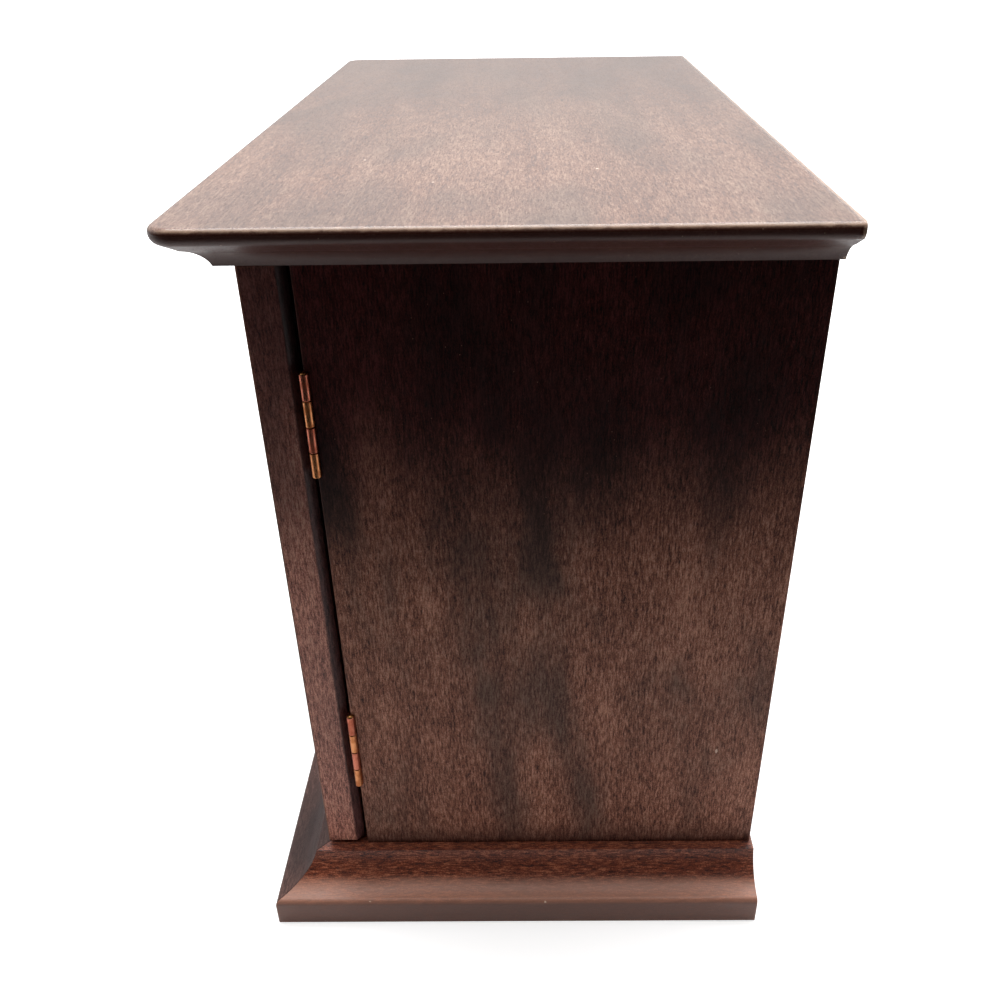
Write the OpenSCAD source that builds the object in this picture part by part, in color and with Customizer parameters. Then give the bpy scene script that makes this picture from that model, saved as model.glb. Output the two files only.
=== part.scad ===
// Desktop cabinet: a case with a shelf behind a pair of framed doors, between a moulded base and top.
// Millimetres. +Z is up, the doors face -Y, and the origin is the centre of the base on the table.

/* [Case] */
// Width of the case over its side panels
case_w = 320; // [290:1:420]
// Depth of the case, from the front edges of the sides to the back
case_d = 160; // [140:1:240]
// Height of the case, from the base to the top board
case_h = 250; // [220:1:340]
// Thickness of the side panels
side_t = 12; // [12:0.5:16]
// Thickness of the bottom board and the inner top
board_t = 10; // [9:0.5:14]
// Thickness of the back panel
back_t = 5; // [4:0.5:8]
// Width of the rebate in each side that the back panel lies in
rebate_w = 6; // [5:0.5:8]

/* [Shelf] */
// Thickness of the shelf
shelf_t = 9; // [7:0.5:14]
// Height of the clear space under the shelf
shelf_rise = 112; // [80:1:140]
// Distance from the front of the case back to the shelf's front edge
shelf_setback = 14; // [6:1:40]
// Depth of the grooves in the sides that hold the shelf
shelf_groove = 4; // [2:0.5:6]

/* [Top board] */
// Thickness of the top board
top_t = 14.4; // [13:0.2:20]
// How far the nose stands out past the sides and the doors
top_overhang = 18.5; // [15:0.5:26]
// Height of the nose
nose_h = 5.6; // [5:0.1:7]
// Radius of the nose's upper arris
nose_top_r = 2; // [1:0.1:2.4]
// Radius of the nose's lower arris, which rolls under
nose_low_r = 3.2; // [1:0.1:3.3]
// How far the underside stands out past the sides and the doors
top_foot = 4.8; // [2:0.2:6]
// Width of the hollow over the underside
top_hollow_w = 6.4; // [4:0.2:8]
// Height of that hollow
top_hollow_h = 6.2; // [4:0.2:7]
// Radius of that hollow
top_hollow_r = 10; // [8:0.5:20]

/* [Base] */
// Height of the base
base_h = 25; // [22:0.5:40]
// How far the base stands out past the side panels
base_side = 19.5; // [17:0.5:30]
// How far the base stands out in front of the doors
base_front = 20.5; // [18:0.5:30]
// How far the base stands out behind the case
base_back = 1; // [0:0.5:4]
// Width of the side and front mouldings, seen from above
moulding_w = 52; // [48:1:60]
// Width of the back rail, seen from above
back_rail_w = 30; // [20:1:40]
// Height of the hollow of the moulding
hollow_h = 12.3; // [8:0.1:16]
// Width of the hollow of the moulding, with its lower arris
hollow_w = 15.5; // [12:0.1:17]
// Radius of the hollow of the moulding
hollow_r = 16; // [14:0.5:24]
// Radius of the rounded arris under the hollow
arris_r = 2.4; // [0.5:0.1:3]

/* [Doors] */
// Thickness of the door frames
door_t = 14.5; // [13:0.5:18]
// Width of the stiles and rails
frame_w = 30; // [26:1:40]
// Gap above and below the doors
door_gap_z = 1.5; // [1:0.1:3]
// Gap between the two doors
door_gap_x = 2; // [1:0.1:4]
// Chamfer down the back of each hinge stile
stile_chamfer = 2.8; // [1:0.1:3.4]
// Width of the groove round the inside of the frames
groove_w = 5; // [4:0.5:6]
// Depth of that groove, which is also the length of the rails' tenons
groove_depth = 6; // [4:0.5:9]
// Width of the bevel round the raised panels
bevel_w = 16; // [8:1:24]
// Depth of the panel's field below the face of the frame
field_drop = 1.4; // [0.5:0.1:3]

/* [Hinges] */
// Height of a hinge
hinge_h = 36.6; // [30:0.2:50]
// Height of the lower hinge's foot above the door's lower edge, the same as the upper hinge has above it
hinge_inset = 34; // [25:0.5:45]
// Width of a leaf, from the pin's centre
leaf_w = 10.8; // [9:0.1:11.2]
// Thickness of a leaf
leaf_t = 0.9; // [0.7:0.1:1.1]
// Radius of the rolled barrel
barrel_r = 1.5; // [1.4:0.1:2]
// Radius of the hinge pin
pin_r = 0.7; // [0.5:0.05:0.8]
// How far the pin's centre stands out past the side of the case
pin_out = 0.6; // [0.5:0.1:1]
// Depth of the recess that a leaf lies in, in the edge of the case
recess_depth = 1.4; // [0.9:0.1:1.5]

/* [Knobs and catch] */
// Diameter of a knob
knob_d = 13; // [10:0.5:20]
// How far a knob stands out in front of its door
knob_out = 17; // [14:0.5:18]
// Width of the magnetic catch
catch_w = 46; // [40:1:60]
// Depth of the magnetic catch, from front to back
catch_d = 13; // [11:0.5:18]
// Height of the magnetic catch
catch_h = 10; // [8:0.5:14]
// Width of the strike plates on the doors
strike_w = 11; // [9:0.5:12]
// Thickness of the strike plates
strike_t = 1; // [0.6:0.1:1.2]

/* [Fasteners] */
// Diameter of the dowels
dowel_d = 5; // [4:0.5:6]
// Length of a dowel in a side panel or side moulding
dowel_side = 8; // [6:0.5:9]
// Length of a dowel in a board or rail
dowel_board = 12; // [8:0.5:16]
// Diameter of the screws that hold the hinges and the strike plates
small_screw_d = 2.2; // [1.8:0.1:2.4]
// Length of the screws that hold the hinges
small_screw_l = 9; // [7:0.5:11]
// Diameter of the screws that hold the top board and the base
big_screw_d = 3.5; // [3:0.1:4]
// Diameter of the nails round the back panel
nail_d = 1.2; // [1:0.1:1.6]
// Length of those nails
nail_l = 13; // [10:0.5:16]

/* [Fits] */
// Slip between wooden parts that slide into grooves
wood_slip = 0.1; // [0.05:0.01:0.2]
// Play round screws, pins and dowels in their holes
hole_play = 0.05; // [0.02:0.01:0.1]
// Gap between neighbouring knuckles, and between a knuckle and the other leaf
knuckle_gap = 0.3; // [0.2:0.05:0.5]
// Gap between a strike plate and the magnet's face
magnet_gap = 0.3; // [0.2:0.05:0.5]

/* [Hidden] */

$fn = 48;
eps = 0.01;               // how far a cut runs past the face that it opens

walnut = "#4a2a20";       // stained wood of the case
walnut_light = "#5b3628"; // doors and mouldings, a little lighter
ply = "#6b4a34";          // back panel
beech = "#c9a06a";        // dowels
copper = "#b0683a";       // hinge leaves
brass = "#b5894a";        // knobs and pins
steel = "#8c8c90";        // screws, nails and strike plates
dark_plastic = "#2b2622"; // catch housing

// The hinges set the gap between doors and case: a barrel's diameter less the recess of the case leaf.
door_gap_y = 2 * barrel_r - recess_depth;

base_w = case_w + 2 * base_side;
base_d = base_front + door_t + door_gap_y + case_d + base_back;

x_side = case_w / 2;
x_inner = x_side - side_t;
y_base = -base_d / 2;
y_door = y_base + base_front;
y_door_back = y_door + door_t;
y_case = y_door_back + door_gap_y;
y_back = y_case + case_d;
y_back_panel = y_back - back_t;
z_case = base_h;
z_top = base_h + case_h;

// Turning axis of the right-hand door, and the heights of the two hinges' middles.
x_pin = x_side + pin_out;
y_pin = y_case + recess_depth - barrel_r;
door_z = z_case + door_gap_z;
door_h = case_h - 2 * door_gap_z;
hinge_zs = [door_z + hinge_inset + hinge_h / 2, door_z + door_h - hinge_inset - hinge_h / 2];
knuckles = 4;
knuckle_l = (hinge_h - (knuckles - 1) * knuckle_gap) / knuckles;

// Doors
door_w = (case_w - door_gap_x) / 2;
x_meet = door_gap_x / 2;
rail_l = door_w - 2 * frame_w;
x_rail = x_meet + frame_w;
groove_y = y_door + (door_t - groove_w) / 2;
tongue_t = groove_w - 2 * wood_slip;
panel_play = 0.5;         // room for the panel to swell in its groove
panel_w = rail_l + 2 * (groove_depth - panel_play);
panel_h = door_h - 2 * frame_w + 2 * (groove_depth - panel_play);
knob_x = x_meet + frame_w / 2;
knob_z = door_z + door_h / 2;

// Shelf
shelf_z = z_case + board_t + shelf_rise;
shelf_y = y_case + shelf_setback;

// Fasteners
small_head_d = small_screw_d + 2 * leaf_t;  // a 90 degree head as deep as the leaf is thick
big_head_d = 2 * big_screw_d;
leaf_screw_x = x_pin - (leaf_w + barrel_r) / 2;
leaf_screw_dz = hinge_h / 4;
top_screw_l = board_t + top_t * 0.6;
top_screw_edge = 22;      // from the inside of the case to the first screw
top_screw_x = x_inner - top_screw_edge;
base_screw_x = x_inner - 11;
base_screw_sink = 10;     // depth of the counterbore in the base
base_screw_bite = 7;      // length of the screw in the bottom board
base_screw_l = base_h - base_screw_sink + base_screw_bite;
screw_ys = [for (k = [0.12, 0.5, 0.88]) y_case + k * (case_d - back_t)];
dowel_ys = [for (k = [0.3, 0.7]) y_case + k * (case_d - back_t)];
nail_edge = rebate_w / 2;
nail_zs = [for (k = [0.2, 0.4, 0.6, 0.8]) z_case + k * case_h];
nail_xs = [for (k = [-0.6, -0.2, 0.2, 0.6]) k * x_inner];
nail_head_d = 2 * nail_d;
nail_head_t = 0.5;

// Catch, whose magnets face the strike plates across the magnet gap
strike_z = z_top - board_t - catch_h / 2;
strike_h = catch_h - 1;
strike_x = x_meet + 3 + strike_w / 2;
y_magnet = y_door_back + strike_t + magnet_gap;
magnet_d = 8;             // depth of a magnet
magnet_h = 6;             // height of a magnet
catch_screw_d = 2.4;
catch_screw_l = catch_h + board_t - 3;

// Points on the arc of radius r from p to q that bends to the left of the line from p to q.
function arc_between(p, q, r, n = 12) =
    let (
        d = q - p,
        half = norm(d) / 2,
        left = [-d[1], d[0]] / norm(d),
        c = (p + q) / 2 - left * sqrt(r * r - half * half),
        a = atan2(p[1] - c[1], p[0] - c[0]),
        turn = 2 * asin(half / r)
    )
    [for (i = [0 : n]) c + r * [cos(a - turn * i / n), sin(a - turn * i / n)]];

// Points round a circle of radius r about c, from angle a to angle b.
function arc_about(c, r, a, b, n = 12) =
    [for (i = [0 : n]) c + r * [cos(a + (b - a) * i / n), sin(a + (b - a) * i / n)]];

// Edge of the top board, from the underside up to the top face: [distance past the case, height].
// A hollow runs up from the underside. Above it comes the nose, given from the hollow's outer edge:
// a straight slope, and an arris rounded below and above.
top_core_out = top_foot + top_hollow_w;
nose_out = top_overhang - top_core_out;
top_core_edge = concat(
    arc_between([top_foot, 0], [top_core_out, top_hollow_h], top_hollow_r, 10),
    [[top_core_out, top_t]]
);
nose_edge = concat(
    [[0, top_hollow_h]],
    arc_about([nose_out - nose_low_r, top_t - nose_h + nose_low_r], nose_low_r, -68, 0, 8),
    arc_about([nose_out - nose_top_r, top_t - nose_top_r], nose_top_r, 0, 90, 8),
    [[0, top_t]]
);

// Edge of the base, from its ledge down to the table: [distance in from the fascia, height].
fascia_h = base_h - hollow_h - arris_r;
base_edge = concat(
    arc_between([hollow_w, base_h], [arris_r + 0.2, base_h - hollow_h], hollow_r, 14),
    arc_about([arris_r, fascia_h], arris_r, 90, 180, 6),
    [[0, 0]]
);

function flip(points) = [for (i = [len(points) - 1 : -1 : 0]) [-points[i][0], points[i][1]]];

// A board whose edge profile runs along the front and both sides, and whose back is square.
// The outline at each height is a rectangle, so it is where the two long bars below meet.
module edged_board(half_w, front_y, back_y, edge, z) {
    side = [for (p = edge) [half_w + p[0], p[1]]];
    front = [for (p = edge) [-(front_y - p[0]), p[1]]];
    h = edge[len(edge) - 1][1];
    translate([0, 0, z])
        intersection() {
            translate([0, back_y, 0])
                rotate([90, 0, 0])
                    linear_extrude(back_y - front_y + 60)
                        polygon(concat(side, flip(side)));
            translate([-half_w - 60, 0, 0])
                rotate([90, 0, 90])
                    linear_extrude(2 * half_w + 120)
                        polygon(concat([[back_y, 0]], [[back_y, h]], flip(front)));
        }
}

// The nose, which runs along the front and both sides, and turns round the front corners in an arc.
module nose(half_w, front_y, back_y, edge, z)
    translate([0, 0, z]) {
        translate([-half_w, front_y, 0])
            rotate([90, 0, 90])
                linear_extrude(2 * half_w)
                    polygon(flip(edge));
        for (x_sign = [-1, 1]) {
            translate([x_sign * half_w, back_y, 0])
                rotate([90, 0, 0])
                    linear_extrude(back_y - front_y)
                        polygon(x_sign > 0 ? edge : flip(edge));
            translate([x_sign * half_w, front_y, 0])
                rotate([0, 0, x_sign > 0 ? -90 : 180])
                    rotate_extrude(angle = 90)
                        polygon(edge);
        }
    }

module bar_y(d, from, to, x, z) translate([x, from, z]) rotate([-90, 0, 0]) cylinder(d = d, h = to - from);

module block(from, to) translate(from) cube(to - from);

module both_sides() {
    children();
    mirror([1, 0, 0]) children();
}

// A countersunk wood screw with its head's face at z = 0 and its point down.
module screw(d, head_d, length) {
    head_h = (head_d - d) / 2;
    tip = d;
    difference() {
        union() {
            translate([0, 0, -head_h]) cylinder(d1 = d, d2 = head_d, h = head_h);
            translate([0, 0, tip - length]) cylinder(d = d, h = length - tip - head_h + eps);
            translate([0, 0, -length]) cylinder(d1 = 0.3, d2 = d, h = tip);
        }
        for (turn = [0, 90])
            rotate([0, 0, turn])
                translate([-head_d * 0.32, -d * 0.13, -head_h * 0.55])
                    cube([head_d * 0.64, d * 0.26, head_h]);
    }
}

// The hole for that screw, with play all round.
module screw_hole(d, head_d, length) {
    head_h = (head_d - d) / 2;
    translate([0, 0, -head_h]) cylinder(d1 = d + 2 * hole_play, d2 = head_d + 2 * hole_play, h = head_h);
    translate([0, 0, -length - hole_play]) cylinder(d = d + 2 * hole_play, h = length + hole_play);
    cylinder(d = head_d + 2 * hole_play, h = 1);
}

// Places of the fasteners. Each is used for the fastener and again for its holes.

module at_case_dowels(x_sign)
    for (z = [z_case + board_t / 2, z_top - board_t / 2], y = dowel_ys)
        translate([x_sign * x_inner, y, z]) rotate([0, x_sign * 90, 0]) children();

module at_base_dowels(x_sign)
    for (k = [0.2, 0.55], y = y_back + base_back - k * back_rail_w)
        translate([x_sign * (base_w / 2 - moulding_w), y, base_h / 2]) rotate([0, x_sign * 90, 0]) children();

module at_top_screws()
    for (x = [-top_screw_x, top_screw_x], y = screw_ys)
        translate([x, y, z_top - board_t]) rotate([180, 0, 0]) children();

module at_base_screws()
    for (x = [-base_screw_x, base_screw_x], y = screw_ys)
        translate([x, y, base_screw_sink]) rotate([180, 0, 0]) children();

module at_catch_screws()
    for (x = [-catch_w / 2 + 4.5, catch_w / 2 - 4.5])
        translate([x, y_magnet + catch_d / 2 + 1, z_top - board_t - catch_h]) rotate([180, 0, 0]) children();

module at_nails() {
    for (x = [-x_side + side_t - nail_edge, x_side - side_t + nail_edge], z = nail_zs)
        translate([x, y_back, z]) rotate([-90, 0, 0]) children();
    for (x = nail_xs, z = [z_case + board_t / 2, z_top - board_t / 2])
        translate([x, y_back, z]) rotate([-90, 0, 0]) children();
}

module at_case_leaf_screws()
    for (z = hinge_zs, dz = [-leaf_screw_dz, leaf_screw_dz])
        translate([leaf_screw_x, y_pin + barrel_r - leaf_t, z + dz]) rotate([90, 0, 0]) children();

module at_door_leaf_screws()
    for (z = hinge_zs, dz = [-leaf_screw_dz, leaf_screw_dz])
        translate([leaf_screw_x, y_pin - barrel_r + leaf_t, z + dz]) rotate([-90, 0, 0]) children();

module at_strike_screw()
    translate([strike_x, y_door_back + strike_t, strike_z]) rotate([-90, 0, 0]) children();

// A dowel lies half in each part, from -dowel_board to +dowel_side along its own axis.
module dowel()
    translate([0, 0, -dowel_board + hole_play])
        cylinder(d = dowel_d, h = dowel_board + dowel_side - 2 * hole_play);

module dowel_hole()
    translate([0, 0, -dowel_board])
        cylinder(d = dowel_d + 2 * hole_play, h = dowel_board + dowel_side);

module nail() {
    translate([0, 0, -nail_head_t]) cylinder(d = nail_head_d, h = nail_head_t);
    translate([0, 0, -nail_l]) cylinder(d = nail_d, h = nail_l - nail_head_t + eps);
}

module nail_hole() {
    translate([0, 0, -nail_head_t - hole_play])
        cylinder(d = nail_head_d + 2 * hole_play, h = nail_head_t + 1);
    translate([0, 0, -nail_l - hole_play]) cylinder(d = nail_d + 2 * hole_play, h = nail_l);
}

// The case.

module top_board()
    color(walnut)
        difference() {
            union() {
                edged_board(x_side, y_door, y_back, top_core_edge, z_top);
                nose(x_side + top_core_out, y_door - top_core_out, y_back, nose_edge, z_top);
            }
            at_top_screws() screw_hole(big_screw_d, big_head_d, top_screw_l);
        }

module side_panel_right()
    color(walnut)
        difference() {
            block([x_inner, y_case, z_case], [x_side, y_back, z_top]);
            block([x_inner - 1, y_back_panel, z_case - 1], [x_inner + rebate_w, y_back + 1, z_top + 1]);
            block(
                [x_inner - 1, shelf_y, shelf_z],
                [x_inner + shelf_groove, y_back_panel + 1, shelf_z + shelf_t]
            );
            for (z = hinge_zs) {
                block(
                    [x_pin - leaf_w - knuckle_gap, y_case - 1, z - hinge_h / 2 - knuckle_gap],
                    [x_side + 1, y_case + recess_depth, z + hinge_h / 2 + knuckle_gap]
                );
                translate([x_pin, y_pin, z - hinge_h / 2 - knuckle_gap])
                    cylinder(r = barrel_r + knuckle_gap, h = hinge_h + 2 * knuckle_gap);
            }
            at_case_leaf_screws() screw_hole(small_screw_d, small_head_d, small_screw_l);
            at_case_dowels(1) dowel_hole();
            at_nails() nail_hole();
        }

module case_board(z)
    difference() {
        block([-x_inner, y_case, z], [x_inner, y_back_panel, z + board_t]);
        for (x_sign = [-1, 1]) at_case_dowels(x_sign) dowel_hole();
        at_nails() nail_hole();
    }

module inner_top()
    color(walnut)
        difference() {
            case_board(z_top - board_t);
            at_top_screws() screw_hole(big_screw_d, big_head_d, top_screw_l);
            at_catch_screws() screw_hole(catch_screw_d, 2 * catch_screw_d, catch_screw_l);
        }

module bottom_board()
    color(walnut)
        difference() {
            case_board(z_case);
            at_base_screws() screw_hole(big_screw_d, big_head_d, base_screw_l);
        }

module shelf()
    color(walnut)
        block(
            [-x_inner - shelf_groove + wood_slip, shelf_y + wood_slip, shelf_z + wood_slip],
            [x_inner + shelf_groove - wood_slip, y_back_panel, shelf_z + shelf_t - wood_slip]
        );

module back_panel()
    color(ply)
        difference() {
            block(
                [-x_inner - rebate_w + wood_slip, y_back_panel, z_case],
                [x_inner + rebate_w - wood_slip, y_back, z_top]
            );
            at_nails() nail_hole();
        }

// The base is a frame: three mouldings mitred at the front corners, and a plain rail across the back.

module base_body() edged_board(base_w / 2, y_base, y_back + base_back, flip(base_edge), 0);

module base_moulding_front()
    color(walnut_light)
        intersection() {
            base_body();
            translate([0, 0, -1])
                linear_extrude(base_h + 2)
                    polygon([
                        [-base_w / 2, y_base], [base_w / 2, y_base],
                        [base_w / 2 - moulding_w, y_base + moulding_w],
                        [-base_w / 2 + moulding_w, y_base + moulding_w]
                    ]);
        }

module base_moulding_right()
    color(walnut_light)
        difference() {
            intersection() {
                base_body();
                translate([0, 0, -1])
                    linear_extrude(base_h + 2)
                        polygon([
                            [base_w / 2, y_base], [base_w / 2, y_back + base_back],
                            [base_w / 2 - moulding_w, y_back + base_back],
                            [base_w / 2 - moulding_w, y_base + moulding_w]
                        ]);
            }
            at_base_screws() base_screw_hole();
            at_base_dowels(1) dowel_hole();
        }

module base_rail_back()
    color(walnut_light)
        difference() {
            block(
                [-base_w / 2 + moulding_w, y_back + base_back - back_rail_w, 0],
                [base_w / 2 - moulding_w, y_back + base_back, base_h]
            );
            for (x_sign = [-1, 1]) at_base_dowels(x_sign) dowel_hole();
        }

module base_screw_hole() {
    screw_hole(big_screw_d, big_head_d, base_screw_l);
    cylinder(d = big_head_d + 1, h = base_screw_sink + 1);
}

// Fasteners of the case.

module case_dowels() color(beech) for (x_sign = [-1, 1]) at_case_dowels(x_sign) dowel();

module base_dowels() color(beech) for (x_sign = [-1, 1]) at_base_dowels(x_sign) dowel();

module top_screws() color(steel) at_top_screws() screw(big_screw_d, big_head_d, top_screw_l);

module base_screws() color(steel) at_base_screws() screw(big_screw_d, big_head_d, base_screw_l);

module back_nails() color(steel) at_nails() nail();

// The magnetic catch under the inner top.

module magnet_space(play)
    block(
        [strike_x - strike_w / 2 + 1 - play, y_magnet - eps, strike_z - magnet_h / 2 - play],
        [strike_x + strike_w / 2 - 1 + play, y_magnet + magnet_d + play, strike_z + magnet_h / 2 + play]
    );

module catch_housing()
    color(dark_plastic)
        difference() {
            block(
                [-catch_w / 2, y_magnet + 0.4, z_top - board_t - catch_h],
                [catch_w / 2, y_magnet + catch_d, z_top - board_t]
            );
            both_sides() magnet_space(hole_play);
            at_catch_screws() screw_hole(catch_screw_d, 2 * catch_screw_d, catch_screw_l);
        }

module catch_magnets() color(steel) both_sides() magnet_space(0);

module catch_screws()
    color(steel) at_catch_screws() screw(catch_screw_d, 2 * catch_screw_d, catch_screw_l);

// Hinges. A leaf is drawn about its own pin, with the leaf running to -x.
// The door's leaf holds the knuckles with an even number, counted from the top,
// and the case's leaf holds the others.

function knuckle_z(i) = hinge_h / 2 - i * (knuckle_l + knuckle_gap) - knuckle_l;

// The plate is on the +y side of the pin when plate_side is 1, and on the -y side when it is -1.
module leaf(parity, plate_side) {
    plate_y = plate_side > 0 ? barrel_r - leaf_t : -barrel_r;
    difference() {
        union() {
            difference() {
                translate([-leaf_w, plate_y, -hinge_h / 2]) cube([leaf_w, leaf_t, hinge_h]);
                for (i = [0 : knuckles - 1])
                    if (i % 2 != parity)
                        translate([-barrel_r - knuckle_gap, -barrel_r - 1, knuckle_z(i) - knuckle_gap])
                            cube([2 * barrel_r + 1, 2 * barrel_r + 2, knuckle_l + 2 * knuckle_gap]);
            }
            for (i = [0 : knuckles - 1])
                if (i % 2 == parity)
                    translate([0, 0, knuckle_z(i)]) cylinder(r = barrel_r, h = knuckle_l);
        }
        translate([0, 0, -hinge_h]) cylinder(r = pin_r + hole_play, h = 2 * hinge_h);
    }
}

module case_leaf_right(z)
    color(copper)
        difference() {
            translate([x_pin, y_pin, z]) leaf(1, 1);
            at_case_leaf_screws() screw_hole(small_screw_d, small_head_d, small_screw_l);
        }

module door_leaf_right(z)
    color(copper)
        difference() {
            translate([x_pin, y_pin, z]) leaf(0, -1);
            at_door_leaf_screws() screw_hole(small_screw_d, small_head_d, small_screw_l);
        }

// The pin has a low domed head on the top of the barrel.
module hinge_pin_right(z)
    color(brass)
        translate([x_pin, y_pin, z - hinge_h / 2]) {
            cylinder(r = pin_r, h = hinge_h + 0.3);
            translate([0, 0, hinge_h + hole_play])
                rotate_extrude()
                    polygon(concat([[0, 0]], arc_between([0, 0.6], [barrel_r * 0.8, 0], 1.6, 6)));
        }

module case_leaf_screws()
    color(steel)
        both_sides() at_case_leaf_screws() screw(small_screw_d, small_head_d, small_screw_l);

// The right-hand door. The left-hand one is its mirror image.

module frame_groove(from, to) block([from[0], groove_y, from[1]], [to[0], groove_y + groove_w, to[1]]);

module hinge_stile_right()
    color(walnut_light)
        difference() {
            translate([0, 0, door_z])
                linear_extrude(door_h)
                    polygon([
                        [x_side - frame_w, y_door], [x_side, y_door],
                        [x_side, y_door_back - stile_chamfer], [x_side - stile_chamfer, y_door_back],
                        [x_side - frame_w, y_door_back]
                    ]);
            frame_groove(
                [x_side - frame_w - 1, door_z - 1],
                [x_side - frame_w + groove_depth, door_z + door_h + 1]
            );
            at_door_leaf_screws() screw_hole(small_screw_d, small_head_d, small_screw_l);
        }

module meeting_stile_right()
    color(walnut_light)
        difference() {
            block([x_meet, y_door, door_z], [x_meet + frame_w, y_door_back, door_z + door_h]);
            frame_groove(
                [x_meet + frame_w - groove_depth, door_z - 1],
                [x_meet + frame_w + 1, door_z + door_h + 1]
            );
            bar_y(knob_stud_d + 2 * hole_play, y_door - 1, y_door_back + 1, knob_x, knob_z);
            at_strike_screw() screw_hole(small_screw_d, strike_head_d, strike_screw_l);
        }

// A rail runs between the stiles. Its tenons fill the ends of the stiles' grooves, and its own groove takes
// the panel.
module door_rail(z, groove_z)
    color(walnut_light)
        difference() {
            union() {
                block([x_rail, y_door, z], [x_rail + rail_l, y_door_back, z + frame_w]);
                block(
                    [x_rail - groove_depth + wood_slip, groove_y + wood_slip, z],
                    [x_rail + rail_l + groove_depth - wood_slip, groove_y + groove_w - wood_slip, z + frame_w]
                );
            }
            frame_groove(
                [x_rail - groove_depth - 1, groove_z],
                [x_rail + rail_l + groove_depth + 1, groove_z + groove_depth + 1]
            );
        }

module top_rail_right() door_rail(door_z + door_h - frame_w, door_z + door_h - frame_w - 1);

module bottom_rail_right() door_rail(door_z, door_z + frame_w - groove_depth);

// The raised panel: a thin tongue all round, a sloping bevel, and a flat field in front.
module door_panel_right() {
    y_tongue = groove_y + wood_slip;
    y_field = y_door + field_drop;
    x_from = x_meet + door_w / 2 - panel_w / 2;
    z_from = door_z + door_h / 2 - panel_h / 2;
    lip = groove_depth - panel_play + 1;  // the tongue in the groove, and a little flat beside it
    color(walnut_light) {
        block([x_from, y_tongue, z_from], [x_from + panel_w, y_tongue + tongue_t, z_from + panel_h]);
        intersection() {
            translate([0, 0, z_from + lip])
                linear_extrude(panel_h - 2 * lip)
                    polygon([
                        [x_from + lip, y_tongue + eps],
                        [x_from + lip + bevel_w, y_field],
                        [x_from + panel_w - lip - bevel_w, y_field],
                        [x_from + panel_w - lip, y_tongue + eps]
                    ]);
            translate([x_from, 0, 0])
                rotate([90, 0, 90])
                    linear_extrude(panel_w)
                        polygon([
                            [y_tongue + eps, z_from + lip],
                            [y_field, z_from + lip + bevel_w],
                            [y_field, z_from + panel_h - lip - bevel_w],
                            [y_tongue + eps, z_from + panel_h - lip]
                        ]);
        }
    }
}

module door_leaf_screws_right()
    color(steel) at_door_leaf_screws() screw(small_screw_d, small_head_d, small_screw_l);

// The knob is turned: a foot, a waist and a button. A machine screw through the stile holds it.
knob_stud_d = 3;
knob_foot_d = knob_d * 0.72;
knob_button_h = knob_d * 0.55;
knob_thread = 8;          // depth of the screw in the knob
knob_outline = concat(
    [[0, 0], [knob_foot_d / 2, 0], [knob_foot_d / 2, 1.2]],
    arc_between([knob_foot_d / 2, 1.2], [knob_d / 2 - 0.6, knob_out - knob_button_h], knob_out * 0.62, 10),
    arc_about(
        [knob_d / 2 - knob_button_h * 0.42, knob_out - knob_button_h * 0.58],
        knob_button_h * 0.42, -20, 80, 8
    ),
    [[0, knob_out]]
);

module knob_right()
    color(brass)
        difference() {
            translate([knob_x, y_door, knob_z]) rotate([90, 0, 0]) rotate_extrude() polygon(knob_outline);
            bar_y(knob_stud_d + 2 * hole_play, y_door - knob_thread - hole_play, y_door + 1, knob_x, knob_z);
        }

module knob_screw_right() {
    head_d = 6;
    head_h = 1.5;
    color(steel)
        difference() {
            union() {
                bar_y(knob_stud_d, y_door - knob_thread, y_door_back + eps, knob_x, knob_z);
                bar_y(head_d, y_door_back, y_door_back + head_h, knob_x, knob_z);
            }
            for (turn = [0, 90])
                translate([knob_x, y_door_back + head_h, knob_z])
                    rotate([0, turn, 0])
                        cube([head_d * 0.6, 1.2, 0.7], center = true);
        }
}

// A steel plate for the catch's magnet to hold, with one screw through its middle.
strike_head_d = small_screw_d + 2 * strike_t * 0.9;
strike_screw_l = door_t * 0.6;

module strike_plate_right()
    color(steel)
        difference() {
            block(
                [strike_x - strike_w / 2, y_door_back, strike_z - strike_h / 2],
                [strike_x + strike_w / 2, y_door_back + strike_t, strike_z + strike_h / 2]
            );
            at_strike_screw() screw_hole(small_screw_d, strike_head_d, strike_screw_l);
        }

module strike_screw_right()
    color(steel) at_strike_screw() screw(small_screw_d, strike_head_d, strike_screw_l);

// The assembly.

top_board();
inner_top();
mirror([1, 0, 0]) side_panel_right();  // side_panel_left
side_panel_right();
bottom_board();
shelf();
back_panel();
base_moulding_front();
mirror([1, 0, 0]) base_moulding_right();  // base_moulding_left
base_moulding_right();
base_rail_back();
case_dowels();
base_dowels();
top_screws();
base_screws();
back_nails();
catch_housing();
catch_magnets();
catch_screws();
case_leaf_right(hinge_zs[1]);  // case_leaf_right_upper
case_leaf_right(hinge_zs[0]);  // case_leaf_right_lower
mirror([1, 0, 0]) case_leaf_right(hinge_zs[1]);  // case_leaf_left_upper
mirror([1, 0, 0]) case_leaf_right(hinge_zs[0]);  // case_leaf_left_lower
hinge_pin_right(hinge_zs[1]);  // hinge_pin_right_upper
hinge_pin_right(hinge_zs[0]);  // hinge_pin_right_lower
mirror([1, 0, 0]) hinge_pin_right(hinge_zs[1]);  // hinge_pin_left_upper
mirror([1, 0, 0]) hinge_pin_right(hinge_zs[0]);  // hinge_pin_left_lower
case_leaf_screws();
hinge_stile_right();
meeting_stile_right();
top_rail_right();
bottom_rail_right();
door_panel_right();
door_leaf_right(hinge_zs[1]);  // door_leaf_right_upper
door_leaf_right(hinge_zs[0]);  // door_leaf_right_lower
door_leaf_screws_right();
knob_right();
knob_screw_right();
strike_plate_right();
strike_screw_right();
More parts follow.
